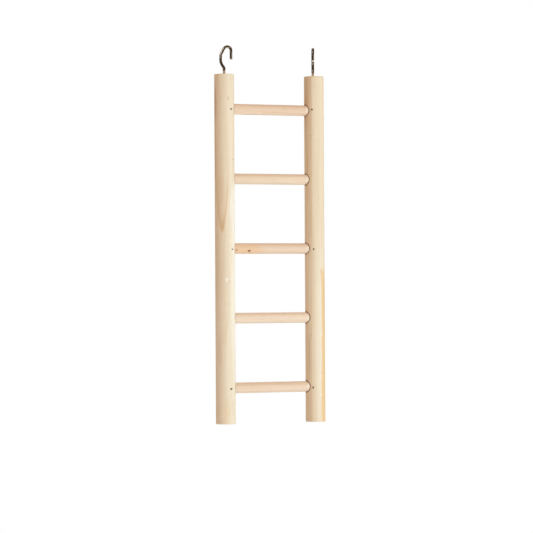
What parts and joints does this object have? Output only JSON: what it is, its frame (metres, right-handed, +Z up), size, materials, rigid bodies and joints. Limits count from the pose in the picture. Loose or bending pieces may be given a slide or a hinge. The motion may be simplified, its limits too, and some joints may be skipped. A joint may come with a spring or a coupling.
{
  "type": "bird ladder",
  "caption": "Hanging cage ladder for small birds: round wooden side rails joined by round wooden rungs, with a bent wire screw hook in the top of each rail.",
  "frame": {"origin": "midway between the two side rails, on the plane of their feet", "axes": "+X along the rungs to the right, -Y to the front where the nails are driven, +Z up along the rails towards the hooks"},
  "size_m": [0.0882, 0.015, 0.2843],
  "materials": {
    "rail_wood": "bare sanded pale softwood",
    "rung_wood": "bare sanded pale wood",
    "hook_wire": "bright nickel plate",
    "nail_wire": "plain drawn steel"
  },
  "bodies": {
    "root": {"left_rail": "rail_wood", "right_rail": "rail_wood", "rung_1": "rung_wood", "rung_2": "rung_wood", "rung_3": "rung_wood", "rung_4": "rung_wood", "rung_5": "rung_wood", "left_hook": "hook_wire", "right_hook": "hook_wire", "rung_nails": "nail_wire"}
  },
  "joints": []
}
